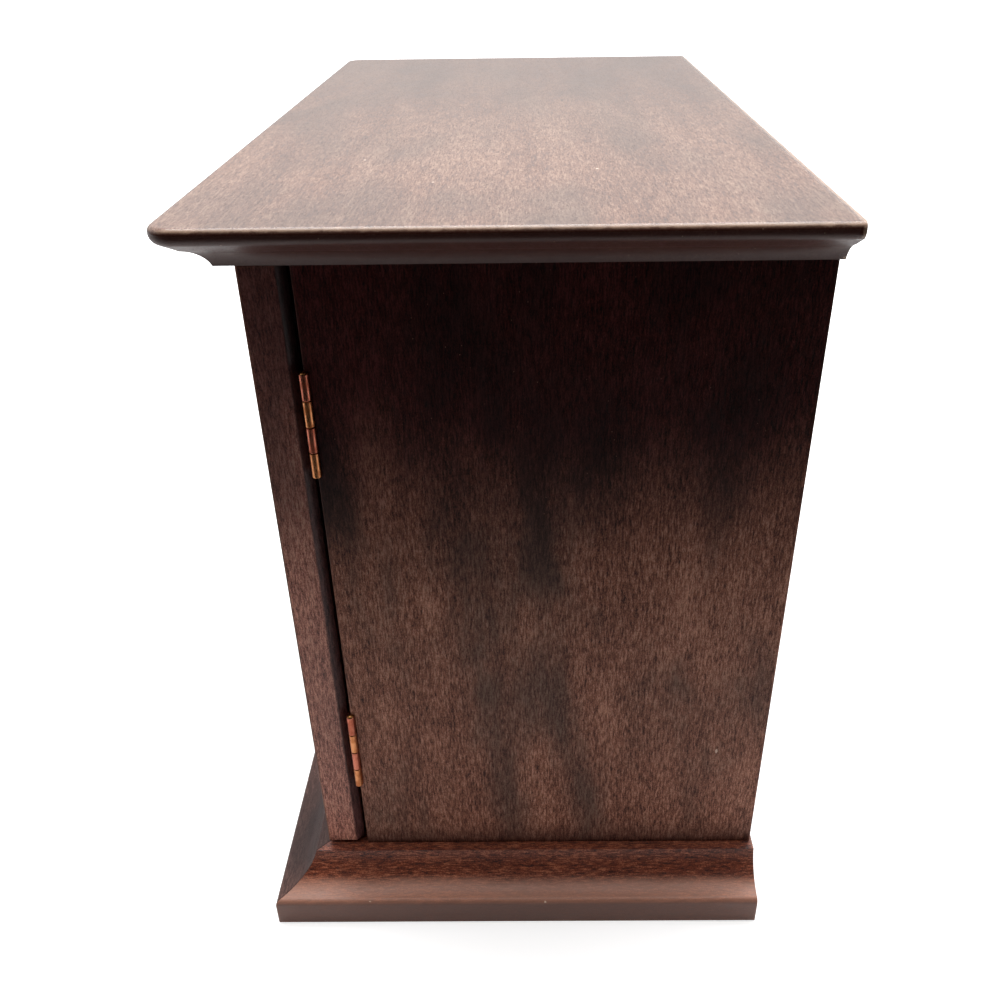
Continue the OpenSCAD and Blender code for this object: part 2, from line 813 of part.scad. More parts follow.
mirror([1, 0, 0]) hinge_stile_right();  // hinge_stile_left
mirror([1, 0, 0]) meeting_stile_right();  // meeting_stile_left
mirror([1, 0, 0]) top_rail_right();  // top_rail_left
mirror([1, 0, 0]) bottom_rail_right();  // bottom_rail_left
mirror([1, 0, 0]) door_panel_right();  // door_panel_left
mirror([1, 0, 0]) door_leaf_right(hinge_zs[1]);  // door_leaf_left_upper
mirror([1, 0, 0]) door_leaf_right(hinge_zs[0]);  // door_leaf_left_lower
mirror([1, 0, 0]) door_leaf_screws_right();  // door_leaf_screws_left
mirror([1, 0, 0]) knob_right();  // knob_left
mirror([1, 0, 0]) knob_screw_right();  // knob_screw_left
mirror([1, 0, 0]) strike_plate_right();  // strike_plate_left
mirror([1, 0, 0]) strike_screw_right();  // strike_screw_left
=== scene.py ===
"""Looks of a desktop cabinet: dark stained wood, copper-toned hinges and brass knobs, on a pale floor."""

import logging
import math
from collections.abc import Callable, Iterable
from dataclasses import dataclass, field, replace
from enum import Enum
from functools import cache, cached_property

import bmesh
import bpy
from mathutils import Matrix, Vector


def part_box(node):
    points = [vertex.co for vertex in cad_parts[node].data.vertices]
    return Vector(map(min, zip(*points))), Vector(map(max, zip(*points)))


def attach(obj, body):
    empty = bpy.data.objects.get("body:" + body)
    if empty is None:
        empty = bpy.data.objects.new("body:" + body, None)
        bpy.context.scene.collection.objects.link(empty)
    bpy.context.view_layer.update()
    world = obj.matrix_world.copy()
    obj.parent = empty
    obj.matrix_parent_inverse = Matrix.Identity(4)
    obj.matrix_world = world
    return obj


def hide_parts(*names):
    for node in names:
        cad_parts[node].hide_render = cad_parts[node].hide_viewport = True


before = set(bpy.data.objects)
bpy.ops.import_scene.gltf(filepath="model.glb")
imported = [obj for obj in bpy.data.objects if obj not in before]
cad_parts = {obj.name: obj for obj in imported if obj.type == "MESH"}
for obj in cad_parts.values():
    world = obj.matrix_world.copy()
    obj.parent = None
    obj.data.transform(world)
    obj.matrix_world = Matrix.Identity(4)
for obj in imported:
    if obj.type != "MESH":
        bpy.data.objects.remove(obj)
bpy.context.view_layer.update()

LOG = logging.getLogger("cabinet")
MM = 0.001

# Points that are this near to each other, to a flat face or to the plane of a mitre count as being on it.
SAME_POINT = 1e-6
ON_FACE = 2e-6
ON_MITRE = 5e-6

# Faces that turn by less than the first are one. The others are the least turns at an edge that is rounded
# on a panel's shallow bevel or on a stile, and at one that stays sharp.
FLAT_ANGLE = math.radians(0.6)
BEVEL_ANGLE = math.radians(8)
STILE_ANGLE = math.radians(30)
SHARP_ANGLE = math.radians(32)

Colour = tuple[float, float, float]
Point = tuple[float, float, float]
Pair = tuple[float, float]
Box = tuple[Vector, Vector]
Edge = bmesh.types.BMEdge
Mesh = bmesh.types.BMesh
Socket = bpy.types.NodeSocket
Number = "Signal | float"


def tint(red: int, green: int, blue: int) -> Colour:
    """Turns a colour with parts from 0 to 255 into the linear one that a shader takes."""
    parts = (part / 255 for part in (red, green, blue))
    return tuple(p / 12.92 if p <= 0.04045 else ((p + 0.055) / 1.055) ** 2.4 for p in parts)


class Grain(Enum):
    """Which way the fibres of a piece run. The value is the index of that axis."""

    ACROSS_WIDTH = 0
    FRONT_TO_BACK = 1
    UPRIGHT = 2


class Side(Enum):
    """The two halves of the cabinet. The value is the sign of X there."""

    LEFT = -1
    RIGHT = 1

    @property
    def word(self) -> str:
        """The side's word in the names of the nodes and bodies."""
        return self.name.lower()


# Shader graphs


@dataclass(frozen=True)
class Signal:
    """A number in a shader graph. Python's operators on it add Math nodes."""

    graph: "Graph"
    socket: Socket

    def math(self, operation: str, *values: Number) -> "Signal":
        """The result of a Math node with those values in its sockets, in order."""
        made = self.graph.node("ShaderNodeMath", {"operation": operation}, dict(enumerate(values)))
        return Signal(self.graph, made.outputs[0])

    def __add__(self, other: Number) -> "Signal":
        """Self plus other."""
        return self.math("ADD", self, other)

    def __sub__(self, other: Number) -> "Signal":
        """Self less other."""
        return self.math("SUBTRACT", self, other)

    def __rsub__(self, other: Number) -> "Signal":
        """Other less self."""
        return self.math("SUBTRACT", other, self)

    def __mul__(self, other: Number) -> "Signal":
        """Self times other."""
        return self.math("MULTIPLY", self, other)

    def least(self, other: Number) -> "Signal":
        """The smaller of self and other."""
        return self.math("MINIMUM", self, other)

    def most(self, other: Number) -> "Signal":
        """The larger of self and other."""
        return self.math("MAXIMUM", self, other)

    def swing(self, width: float) -> "Signal":
        """Noise about 0.5 turned into noise about 0, and that much wider."""
        return (self - 0.5) * width

    def step(self, start: float, end: float) -> "Signal":
        """Turns smoothly from 0 where self is start to 1 where it is end. Either may be the larger."""
        rising = start < end
        low, high = (start, end) if rising else (end, start)
        made = self.graph.node(
            "ShaderNodeMapRange",
            {"interpolation_type": "SMOOTHSTEP"},
            {0: self, 1: low, 2: high, 3: 0.0 if rising else 1.0, 4: 1.0 if rising else 0.0},
        )
        return Signal(self.graph, made.outputs[0])


class Graph:
    """The node graph of one material, or of the world."""

    def __init__(self, tree: bpy.types.NodeTree) -> None:
        """Empties the tree, which the graph then fills."""
        self.tree = tree
        tree.nodes.clear()

    def node(self, kind: str, settings: dict | None = None, inputs: dict | None = None) -> bpy.types.Node:
        """Adds a node.

        Args:
            kind: The node's type.
            settings: Its properties, and under "stops" the (position, colour) pairs of a ramp.
            inputs: Values, signals or sockets by the socket's name or index.

        Returns:
            The new node.
        """
        made = self.tree.nodes.new(kind)
        for name, value in (settings or {}).items():
            if name == "stops":
                self._set_stops(made.color_ramp, value)
            else:
                setattr(made, name, value)
        for key, value in (inputs or {}).items():
            source = value.socket if isinstance(value, Signal) else value
            if isinstance(source, Socket):
                self.tree.links.new(source, made.inputs[key])
            elif isinstance(source, tuple) and made.inputs[key].type == "RGBA":
                made.inputs[key].default_value = (*source[:3], 1.0)
            else:
                made.inputs[key].default_value = source
        return made

    @staticmethod
    def _set_stops(ramp: bpy.types.ColorRamp, stops: Iterable[tuple[float, Colour]]) -> None:
        """Gives a ramp its stops, which come in rising order."""
        stops = list(stops)
        while len(ramp.elements) < len(stops):
            ramp.elements.new(0.5)
        for element, (position, colour) in zip(ramp.elements, stops):
            element.position = position
            element.color = (*colour, 1.0)

    def place(self) -> Socket:
        """The point in the row frame, in metres."""
        return self.node("ShaderNodeTexCoord").outputs["Object"]

    def axes(self, place: Socket) -> tuple[Signal, Signal, Signal]:
        """The three coordinates of place."""
        made = self.node("ShaderNodeSeparateXYZ", {}, {0: place})
        return tuple(Signal(self, socket) for socket in made.outputs)

    def stretched(self, place: Socket, scale: Point, shift: Point) -> Socket:
        """The place, scaled along each axis and then shifted."""
        inputs = {"Vector": place, "Scale": scale, "Location": shift}
        return self.node("ShaderNodeMapping", {}, inputs).outputs[0]

    def length(self, place: Socket) -> Signal:
        """How far place is from the origin."""
        made = self.node("ShaderNodeVectorMath", {"operation": "LENGTH"}, {0: place})
        return Signal(self, made.outputs["Value"])

    def seen(self) -> Signal:
        """1 for the rays that come from the camera, and 0 for all others."""
        return Signal(self, self.node("ShaderNodeLightPath").outputs["Is Camera Ray"])

    def noise(self, place: Socket, detail: float = 3.0, rough: float = 0.5, bent: float = 0.0) -> Signal:
        """Smooth noise about 0.5, one cell to each unit of place, with the settings of a Layer."""
        inputs = {"Vector": place, "Scale": 1.0, "Detail": detail, "Roughness": rough, "Distortion": bent}
        return Signal(self, self.node("ShaderNodeTexNoise", {}, inputs).outputs[0])

    def specks(self, place: Socket, size: float) -> Signal:
        """Round specks of that size, in cells, at random places: 1 inside a speck and 0 outside."""
        inputs = {"Vector": place, "Scale": 1.0, "Randomness": 1.0}
        made = self.node("ShaderNodeTexVoronoi", {"feature": "F1"}, inputs)
        return Signal(self, made.outputs["Distance"]).step(size, size * 0.5)

    def ramp(self, factor: Signal, *stops: tuple[float, Colour]) -> Socket:
        """A colour ramp read at factor."""
        return self.node("ShaderNodeValToRGB", {"stops": stops}, {0: factor}).outputs[0]

    def blend(self, factor: Number, under: object, over: object, kind: str = "MIX") -> Socket:
        """Blends two colours: the result is under at factor 0, and over's at factor 1."""
        settings = {"data_type": "RGBA", "blend_type": kind}
        return self.node("ShaderNodeMix", settings, {0: factor, 6: under, 7: over}).outputs[2]

    def bump(self, relief: Signal, strength: float, depth: float) -> Socket:
        """The normal of a surface with that relief, which is depth metres deep where it is 1."""
        inputs = {"Strength": strength, "Distance": depth, "Height": relief}
        return self.node("ShaderNodeBump", {}, inputs).outputs[0]

    def principled(self, inputs: dict) -> None:
        """Makes a principled shader with those inputs the surface."""
        self.surface(self.node("ShaderNodeBsdfPrincipled", {}, inputs))

    def surface(self, shader: bpy.types.Node) -> None:
        """Makes that shader the surface."""
        self.node("ShaderNodeOutputMaterial", {}, {"Surface": shader.outputs[0]})


def new_material(name: str) -> tuple[bpy.types.Material, Graph]:
    """Adds a material with an empty graph, and gives both."""
    material = bpy.data.materials.new(name)
    material.use_nodes = True
    return material, Graph(material.node_tree)


# Finishes


@dataclass(frozen=True)
class Layer:
    """One layer of noise in wood, drawn out along the fibres.

    Attributes:
        across: How many cells it has to a metre across the fibres.
        along: How many cells it has to a metre along the fibres.
        shift: Picks a part of the noise that no other layer shows.
        detail: How many finer layers it has.
        rough: How strong the finer layers are.
        bent: How far its own pattern bends it.
    """

    across: float
    along: float
    shift: float
    detail: float = 3.0
    rough: float = 0.5
    bent: float = 0.0


FIGURE = Layer(75, 9, 3.1, 3.0, 0.5, 0.5)
FIBRE = Layer(1500, 250, 7.7, 3.0, 0.6, 0.3)
GRIT = Layer(3600, 1500, 1.3, 2.0, 0.6)
PORES = Layer(2400, 380, 9.2, 2.0, 0.5, 0.3)
CLOUD = Layer(34, 14, 5.9, 2.0, 0.45, 0.3)
MOTTLE = Layer(230, 80, 2.4, 3.0, 0.55, 0.3)
DUST = Layer(300, 210, 4.8)

# Where the noise turns into pores, into dusty places and into blotches of stain, and a speck's size in cells.
PORE_EDGE = (0.55, 0.68)
DUSTY_EDGE = (0.35, 0.6)
BLOTCH_EDGE = (0.35, 0.95)
SPECK_SIZE = 0.06

# How far behind the front face a shade that spares it starts, and how near to an edge the polish does.
FRONT_SKIN = (0.4 * MM, 0.7 * MM)
POLISH_EDGE = (2.4 * MM, 1.4 * MM)
GRAIN_DEPTH = 0.2 * MM


class Timber:
    """The patterns in one piece of wood, which its stain, its varnish and its wear all follow."""

    def __init__(self, graph: Graph, grain: Grain, seed: float) -> None:
        """Adds the patterns' nodes. The seed picks the part of them that the piece shows."""
        self.graph = graph
        self.grain = grain
        self.seed = seed
        self.place = graph.place()
        self.figure = self._noise(FIGURE)
        self.fibre = self._noise(FIBRE)
        self.grit = self._noise(GRIT)
        self.pores = self._noise(PORES).step(*PORE_EDGE)
        self.cloud = self._noise(CLOUD)
        self.mottle = self._noise(MOTTLE)
        self.dust = graph.specks(self._cells(DUST), SPECK_SIZE) * self.cloud.step(*DUSTY_EDGE)

    def _cells(self, layer: Layer) -> Socket:
        """The place in the cells of that layer."""
        scale = [layer.across] * 3
        scale[self.grain.value] = layer.along
        seed = self.seed
        shift = (seed + layer.shift, seed * 1.7 + layer.shift, seed * 2.3 - layer.shift)
        return self.graph.stretched(self.place, tuple(scale), shift)

    def _noise(self, layer: Layer) -> Signal:
        """The noise of that layer."""
        return self.graph.noise(self._cells(layer), layer.detail, layer.rough, layer.bent)


@dataclass(frozen=True)
class Mark:
    """A small nick, speck or spot on a piece.

    Attributes:
        place: Its centre, in millimetres in the row frame.
        reach: Its half size along X, Y and Z, in millimetres.
        colour: Its colour.
    """

    place: Point
    reach: Point
    colour: Colour


@dataclass(frozen=True)
class Shade:
    """A band along one side of a piece where its colour is painted darker, paler or greyer. The cabinet's
    bands are painted shade and painted highlights, and one flat colour on the base's fascia.

    Attributes:
        axis: The axis that the band is measured along.
        start: Where it starts, in millimetres from the piece's low side, or with a minus from its high side.
        end: Where it has its full strength.
        strength: Its full strength, from 0 to 1.
        colour: Its colour.
        ragged: How far its edge wanders, in millimetres.
        matt: True if the varnish is thin there too.
        grainy: True if the colour darkens the wood and keeps its grain, and False if it covers it.
        spares_front: True if the piece's front face doesn't have it.
    """

    axis: Grain
    start: float
    end: float
    strength: float
    colour: Colour
    ragged: float = 4.0
    matt: bool = False
    grainy: bool = False
    spares_front: bool = False

    def band(self, wood: Timber, box: Box) -> Signal:
        """How strong the band is at a point of the piece with those patterns and that box."""
        axes = wood.graph.axes(wood.place)
        way = self.axis.value
        base = box[1][way] if self.start < 0 else box[0][way]
        reach = axes[way] + (wood.mottle.swing(0.5) + wood.cloud.swing(1.5)) * (self.ragged * MM)
        band = reach.step(base + self.start * MM, base + self.end * MM) * self.strength
        if self.spares_front:
            behind_front = axes[Grain.FRONT_TO_BACK.value] - box[0].y
            band = band * behind_front.step(*FRONT_SKIN)
        return band


@dataclass(frozen=True)
class WoodFinish:
    """Stained wood: short pores, fibres, the figure of the board, blotches of stain, edges rubbed pale, and
    bands of painted shade and painted highlight.

    Attributes:
        name: The finish's name.
        slot: The name of a material slot. It is not used.
        deep: Colour of the pores and the darkest fibres.
        body: Colour of most of the wood.
        pale: Colour of the palest fibres.
        stain: Colour of the blotches.
        worn: Colour where an edge is rubbed through, and on the top board's rim a painted highlight too.
        blotches: How strong the blotches are, from 0 to 1.
        contrast: How far the fibres differ from each other.
        roughness: Mean roughness of the surface.
        gloss: Specular level of the wood under the varnish.
        coat: Strength of the varnish.
        coat_roughness: Roughness of the varnish.
        wear: How far from an edge the rubbed band starts and ends, in metres; on the top board's rim the band
            is also a painted highlight.
        rubbing: How strong the rubbed band is, and on the top board's rim the painted highlight.
        relief: Strength of the grain's relief.
        specks: Strength of pale dust and scuffs.
        polish: How much smoother the last two millimetres before an edge are.
        shades: The bands of painted shade, painted highlight and flat colour.
    """

    name: str
    slot: str
    deep: Colour
    body: Colour
    pale: Colour
    stain: Colour
    worn: Colour
    blotches: float = 0.6
    contrast: float = 1.0
    roughness: float = 0.45
    gloss: float = 0.4
    coat: float = 0.1
    coat_roughness: float = 0.3
    wear: Pair = (0.9 * MM, 0.2 * MM)
    rubbing: float = 0.5
    relief: float = 0.3
    specks: float = 0.3
    polish: float = 0.0
    shades: tuple[Shade, ...] = ()

    def material(
        self, name: str, grain: Grain, box: Box, seed: float, marks: Iterable[Mark] = ()
    ) -> bpy.types.Material:
        """Makes the finish's material for one piece.

        Args:
            name: The piece's name.
            grain: Which way its fibres run.
            box: Its lowest and highest corner. Its edges are the ones rubbed pale, on the top board with a
                painted highlight, and the painted bands are measured from its sides.
            seed: Picks the part of the pattern that the piece shows.
            marks: The piece's nicks and spots.

        Returns:
            The material.
        """
        material, graph = new_material(f"{self.name}_{name}")
        wood = Timber(graph, grain, seed)
        colour = self._stained(wood)
        coat = self.coat
        # Bands of painted shade and painted highlight over the stain.
        for shade in self.shades:
            band = shade.band(wood, box)
            colour = graph.blend(band, colour, shade.colour, "MULTIPLY" if shade.grainy else "MIX")
            if shade.matt:
                coat = (1.0 - band) * self.coat

        edge = self._edge_distance(wood, box)
        # The band along the box's edges is rubbed pale: real wear, and on the top board's rim a painted
        # highlight too.
        ragged = edge + wood.mottle.swing(self.wear[0] * 1.2) + wood.fibre.swing(self.wear[0] * 0.5)
        colour = graph.blend(ragged.step(*self.wear) * self.rubbing, colour, self.worn)
        dust = wood.dust * self.specks
        colour = graph.blend(dust, colour, self.pale)
        for mark in marks:
            colour = self._marked(wood, colour, mark)

        dull = wood.fibre.swing(0.18) + wood.mottle.swing(0.22) + wood.pores * 0.12 + dust * 0.2
        polished = edge.step(*POLISH_EDGE) * self.polish
        relief = wood.fibre * 0.5 + wood.grit * 0.35 - wood.pores * 0.9 + wood.mottle * 0.4
        graph.principled(
            {
                "Base Color": colour,
                "Roughness": (dull + self.roughness) * (1.0 - polished),
                "Normal": graph.bump(relief, self.relief, GRAIN_DEPTH),
                "Specular IOR Level": self.gloss,
                "Coat Weight": coat,
                "Coat Roughness": self.coat_roughness,
            }
        )
        return material

    def _stained(self, wood: Timber) -> Socket:
        """The colour of the fibres, the blotches of stain over them, and the pores."""
        graph = wood.graph
        tone = wood.figure.swing(0.5) + wood.fibre.swing(1.3 * self.contrast) + wood.mottle.swing(0.5)
        tone = tone + wood.grit.swing(self.contrast) + 0.5
        colour = graph.ramp(tone, (0.05, self.deep), (0.5, self.body), (0.95, self.pale))
        blotch = (wood.cloud.swing(1.8) + wood.mottle.swing(0.5) + 0.5).step(*BLOTCH_EDGE)
        colour = graph.blend(blotch * self.blotches, colour, graph.blend(tone, self.deep, self.stain))
        return graph.blend(wood.pores * 0.6, colour, self.deep)

    @staticmethod
    def _edge_distance(wood: Timber, box: Box) -> Signal:
        """How far a point of the surface is from the nearest edge of the piece's box."""
        x, y, z = (
            (axis - low).least(high - axis) for axis, low, high in zip(wood.graph.axes(wood.place), *box)
        )
        return x.least(y).most(x.most(y).least(z))

    @staticmethod
    def _marked(wood: Timber, colour: Socket, mark: Mark) -> Socket:
        """The colour with one mark on it, whose edge the grit makes ragged."""
        graph = wood.graph
        scale = tuple(1 / (reach * MM) for reach in mark.reach)
        shift = tuple(-spot / reach for spot, reach in zip(mark.place, mark.reach))
        away = graph.length(graph.stretched(wood.place, scale, shift))
        return graph.blend((away + wood.grit.swing(1.2)).step(1.1, 0.7), colour, mark.colour)


@dataclass(frozen=True)
class MetalFinish:
    """Bare or lacquered metal with upright drawn lines, tarnish and a slight unevenness.

    Attributes:
        name: The finish's name.
        bright: Colour where it is clean.
        tarnish: Colour where it is dull.
        roughness: Mean roughness.
    """

    name: str
    bright: Colour
    tarnish: Colour
    roughness: float = 0.3

    def material(self) -> bpy.types.Material:
        """Makes the finish's material."""
        material, graph = new_material(self.name)
        place = graph.place()
        drawn = graph.noise(graph.stretched(place, (3500.0, 3500.0, 150.0), (0.0, 0.0, 0.0)), 3.0, 0.6)
        patches = graph.noise(graph.stretched(place, (260.0, 260.0, 260.0), (3.0, 1.0, 2.0)))
        dulled = (patches + drawn.swing(0.4)).step(0.42, 0.66)
        graph.principled(
            {
                "Base Color": graph.blend(dulled * 0.8, self.bright, self.tarnish),
                "Metallic": 1.0,
                "Roughness": dulled * 0.12 + drawn.swing(0.1) + self.roughness,
                "Normal": graph.bump(drawn, 0.03, 0.02 * MM),
            }
        )
        return material


@dataclass(frozen=True)
class PlasticFinish:
    """Moulded plastic with a fine eggshell surface."""

    name: str
    colour: Colour
    roughness: float = 0.5

    def material(self) -> bpy.types.Material:
        """Makes the finish's material."""
        material, graph = new_material(self.name)
        place = graph.place()
        shell = graph.noise(graph.stretched(place, (1500.0, 1500.0, 1500.0), (0.0, 0.0, 0.0)), 2.0)
        cloud = graph.noise(graph.stretched(place, (90.0, 90.0, 90.0), (1.0, 2.0, 3.0)))
        paler = tuple(part * 1.35 for part in self.colour)
        graph.principled(
            {
                "Base Color": graph.blend(cloud, self.colour, paler),
                "Roughness": shell.swing(0.2) + self.roughness,
                "Normal": graph.bump(shell, 0.2, 0.05 * MM),
            }
        )
        return material


CASE_WOOD = WoodFinish(
    name="satin_case_stain",
    slot="case_wood",
    deep=tint(50, 22, 18),
    body=tint(149, 94, 74),
    pale=tint(210, 152, 128),
    stain=tint(96, 80, 70),
    worn=tint(150, 96, 74),
    blotches=0.8,
    contrast=1.4,
    gloss=0.14,
    coat=0.02,
    rubbing=0.1,
    shades=(
        # Painted shade: the side panels grow darker towards the top, as under the top board's overhang.
        Shade(Grain.UPRIGHT, 118.0, 205.0, 1.0, (0.17, 0.072, 0.1), 44.0, grainy=True),
        # Painted shade: darker towards the bottom of each board, where the side panels meet the base's ledge.
        Shade(Grain.UPRIGHT, 13.0, 1.0, 0.6, tint(52, 26, 22), 6.0),
    ),
)
TOP_WOOD = WoodFinish(
    name="worn_top_stain",
    slot="top_wood",
    deep=tint(70, 42, 34),
    body=tint(130, 90, 72),
    pale=tint(180, 148, 127),
    stain=tint(104, 87, 77),
    # Pale rim colour: wear along the top's rounded arris, and a painted highlight there.
    worn=tint(238, 202, 174),
    contrast=1.1,
    roughness=0.42,
    gloss=0.3,
    coat=0.85,
    coat_roughness=0.4,
    specks=0.9,
    wear=(1.3 * MM, 0.6 * MM),
    rubbing=0.38,
    relief=0.2,
    polish=0.7,
    shades=(
        # Painted shade: the top grows greyer and darker towards its left end.
        Shade(Grain.ACROSS_WIDTH, 290.0, 40.0, 0.6, tint(88, 68, 60), 50.0),
        # Painted shade: below the top face the nose, hollow and underside are painted dark, and matt.
        Shade(Grain.UPRIGHT, -0.6, -1.7, 0.92, tint(68, 34, 29), 0.2, matt=True),
    ),
)
BASE_WOOD = WoodFinish(
    name="satin_base_stain",
    slot="base_wood",
    deep=tint(40, 13, 9),
    body=tint(128, 60, 37),
    pale=tint(196, 118, 84),
    stain=tint(84, 50, 40),
    worn=tint(176, 128, 106),
    blotches=0.4,
    contrast=1.5,
    roughness=0.46,
    coat=0.16,
    coat_roughness=0.36,
    rubbing=0.3,
    shades=(
        # Painted highlight: pale from the foot of the hollow down over the bead.
        Shade(Grain.UPRIGHT, 16.6, 13.8, 0.62, tint(198, 144, 120), 2.2),
        # Below the bead the fascia gets a flat greyish brown, which covers most of the painted highlight
        # there.
        Shade(Grain.UPRIGHT, 12.8, 10.6, 0.72, tint(92, 62, 56), 0.6),
    ),
)
# Painted shade: a darker, greyer copy of the base wood, for the front moulding only.
SHADED_BASE_FRONT_WOOD = replace(
    BASE_WOOD,
    name="grey_base_stain",
    body=tint(84, 54, 47),
    pale=tint(128, 92, 82),
    stain=tint(50, 38, 38),
    blotches=0.9,
    contrast=0.9,
    gloss=0.25,
    coat=0.06,
    shades=(),
)
DOOR_WOOD = WoodFinish(
    name="satin_door_stain",
    slot="door_wood",
    deep=tint(50, 23, 18),
    body=tint(124, 71, 54),
    pale=tint(166, 112, 90),
    stain=tint(82, 55, 46),
    worn=tint(160, 112, 90),
    blotches=0.5,
    contrast=1.2,
    gloss=0.3,
    coat=0.05,
    rubbing=0.2,
)
# Painted light: a paler copy of the door wood for the hinge stiles, whose edge faces are painted lit; the
# bands below darken it again in places.
LIT_DOOR_EDGE_WOOD = replace(
    DOOR_WOOD,
    name="satin_door_edge_stain",
    deep=tint(80, 40, 34),
    body=tint(188, 119, 100),
    pale=tint(232, 172, 148),
    stain=tint(122, 80, 70),
    contrast=1.5,
    shades=(
        # Painted shade: the stile's edge grows darker towards the top, as under the top board's overhang; the
        # front face is spared.
        Shade(Grain.UPRIGHT, 150.0, 226.0, 1.0, (0.26, 0.19, 0.22), 30.0, grainy=True, spares_front=True),
        # Painted shade: the back of the stile, its chamfer towards the hinge gap, is painted dark.
        Shade(Grain.FRONT_TO_BACK, -3.4, -2.6, 1.0, (0.22, 0.19, 0.25), 0.4, grainy=True),
        # On the front face the paler copy is darkened back towards the door wood, so the painted light stays
        # off it.
        Shade(Grain.FRONT_TO_BACK, 0.7, 0.4, 1.0, (0.42, 0.36, 0.31), 0.0, grainy=True),
    ),
)
BACK_PLY = WoodFinish(
    name="stained_back_ply",
    slot="back_ply",
    deep=tint(50, 28, 18),
    body=tint(92, 58, 40),
    pale=tint(138, 98, 70),
    stain=tint(70, 44, 30),
    worn=tint(150, 112, 82),
    roughness=0.6,
    coat=0.0,
)
DOWEL_WOOD = WoodFinish(
    name="bare_dowel_beech",
    slot="dowel_wood",
    deep=tint(150, 108, 70),
    body=tint(196, 158, 112),
    pale=tint(220, 188, 146),
    stain=tint(180, 140, 96),
    worn=tint(220, 190, 150),
    roughness=0.65,
    coat=0.0,
    blotches=0.2,
)
DOOR_LEAF_COPPER = MetalFinish("rose_copper_leaf", tint(192, 114, 92), tint(152, 76, 54), 0.28)
CASE_LEAF_COPPER = replace(
    DOOR_LEAF_COPPER, name="golden_copper_leaf", bright=tint(208, 140, 94), tarnish=tint(164, 92, 52)
)
PIN_BRASS = MetalFinish("aged_pin_brass", tint(206, 150, 92), tint(128, 84, 48))
KNOB_BRASS = MetalFinish("aged_knob_brass", tint(208, 164, 98), tint(120, 84, 44), 0.26)
SCREW_BRASS = MetalFinish("screw_brass", tint(200, 152, 96), tint(120, 82, 48))
ZINC = MetalFinish("zinc_plate", tint(196, 196, 198), tint(130, 128, 126), 0.35)
MAGNET = MetalFinish("nickel_magnet", tint(168, 168, 170), tint(104, 102, 102), 0.4)
CATCH_PLASTIC = PlasticFinish("brown_catch_plastic", tint(46, 36, 30))

PALE_SCUFF = tint(226, 200, 180)
DARK_SPOT = tint(40, 28, 26)
SIDE_MARKS = (Mark((160.0, 79.4, 77.0), (1.0, 0.5, 1.1), PALE_SCUFF),)
TOP_MARKS = (
    Mark((-24.8, 22.9, 289.4), (1.5, 0.8, 1.0), DARK_SPOT),
    Mark((112.0, 30.0, 289.4), (0.8, 0.5, 1.0), PALE_SCUFF),
    Mark((128.0, -22.0, 289.4), (0.6, 0.4, 1.0), PALE_SCUFF),
    Mark((95.0, -48.0, 289.4), (0.7, 0.4, 1.0), PALE_SCUFF),
)
BASE_MARKS = (
    Mark((179.1, -59.9, 12.2), (0.6, 0.7, 0.4), PALE_SCUFF),
    Mark((178.6, -44.2, 13.2), (0.6, 0.8, 0.5), PALE_SCUFF),
    Mark((179.2, 12.0, 11.8), (0.5, 0.5, 0.4), PALE_SCUFF),
)


# Making pieces


def add_object(name: str, data: bpy.types.ID) -> bpy.types.Object:
    """Adds an object with that data to the scene."""
    made = bpy.data.objects.new(name, data)
    bpy.context.scene.collection.objects.link(made)
    return made


def mesh_object(name: str, mesh: Mesh) -> bpy.types.Object:
    """Adds an object with that mesh, which is freed."""
    data = bpy.data.meshes.new(name)
    mesh.to_mesh(data)
    mesh.free()
    return add_object(name, data)


def finish_piece(
    mesh: Mesh, name: str, body: str, material: bpy.types.Material, nodes: Iterable[str]
) -> None:
    """Turns a mesh into a piece that rides on a body and stands for the CAD nodes.

    Args:
        mesh: The mesh, in the row frame. It is freed.
        name: The piece's name.
        body: The CAD body that it rides on.
        material: Its material.
        nodes: The CAD nodes that it stands for.
    """
    for face in mesh.faces:
        face.smooth = True
    for edge in mesh.edges:
        edge.smooth = len(edge.link_faces) == 2 and edge.calc_face_angle(math.pi) < SHARP_ANGLE
    piece = mesh_object(name, mesh)
    piece.data.materials.append(material)
    piece.modifiers.new("flat_faces_stay_flat", "WEIGHTED_NORMAL").keep_sharp = True
    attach(piece, body)
    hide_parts(*nodes)
    LOG.info("%s: %d faces, on %s", name, len(piece.data.polygons), body)


def merged_copy(node: str) -> Mesh:
    """A copy of a CAD node's mesh with its doubles merged and its flat faces made whole."""
    mesh = bmesh.new()
    mesh.from_mesh(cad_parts[node].data)
    bmesh.ops.remove_doubles(mesh, verts=mesh.verts, dist=SAME_POINT)
    bmesh.ops.dissolve_limit(
        mesh, angle_limit=FLAT_ANGLE, verts=mesh.verts, edges=mesh.edges, use_dissolve_boundaries=False
    )
    return mesh


def bevel(mesh: Mesh, edges: Iterable[Edge], width: float, steps: int) -> None:
    """Rounds edges of a mesh, from that far off each of them and with that many faces."""
    bmesh.ops.bevel(
        mesh, geom=list(edges), offset=width, offset_type="OFFSET", segments=steps, profile=0.5,
        affect="EDGES", material=-1, clamp_overlap=True,
    )


def soften(mesh: Mesh, width: float, wanted: Callable[[Edge], bool], steps: int = 3) -> None:
    """Rounds the convex edges of a mesh that wanted says yes to."""
    edges = [edge for edge in mesh.edges if len(edge.link_faces) == 2 and edge.is_convex and wanted(edge)]
    bevel(mesh, edges, width, steps)


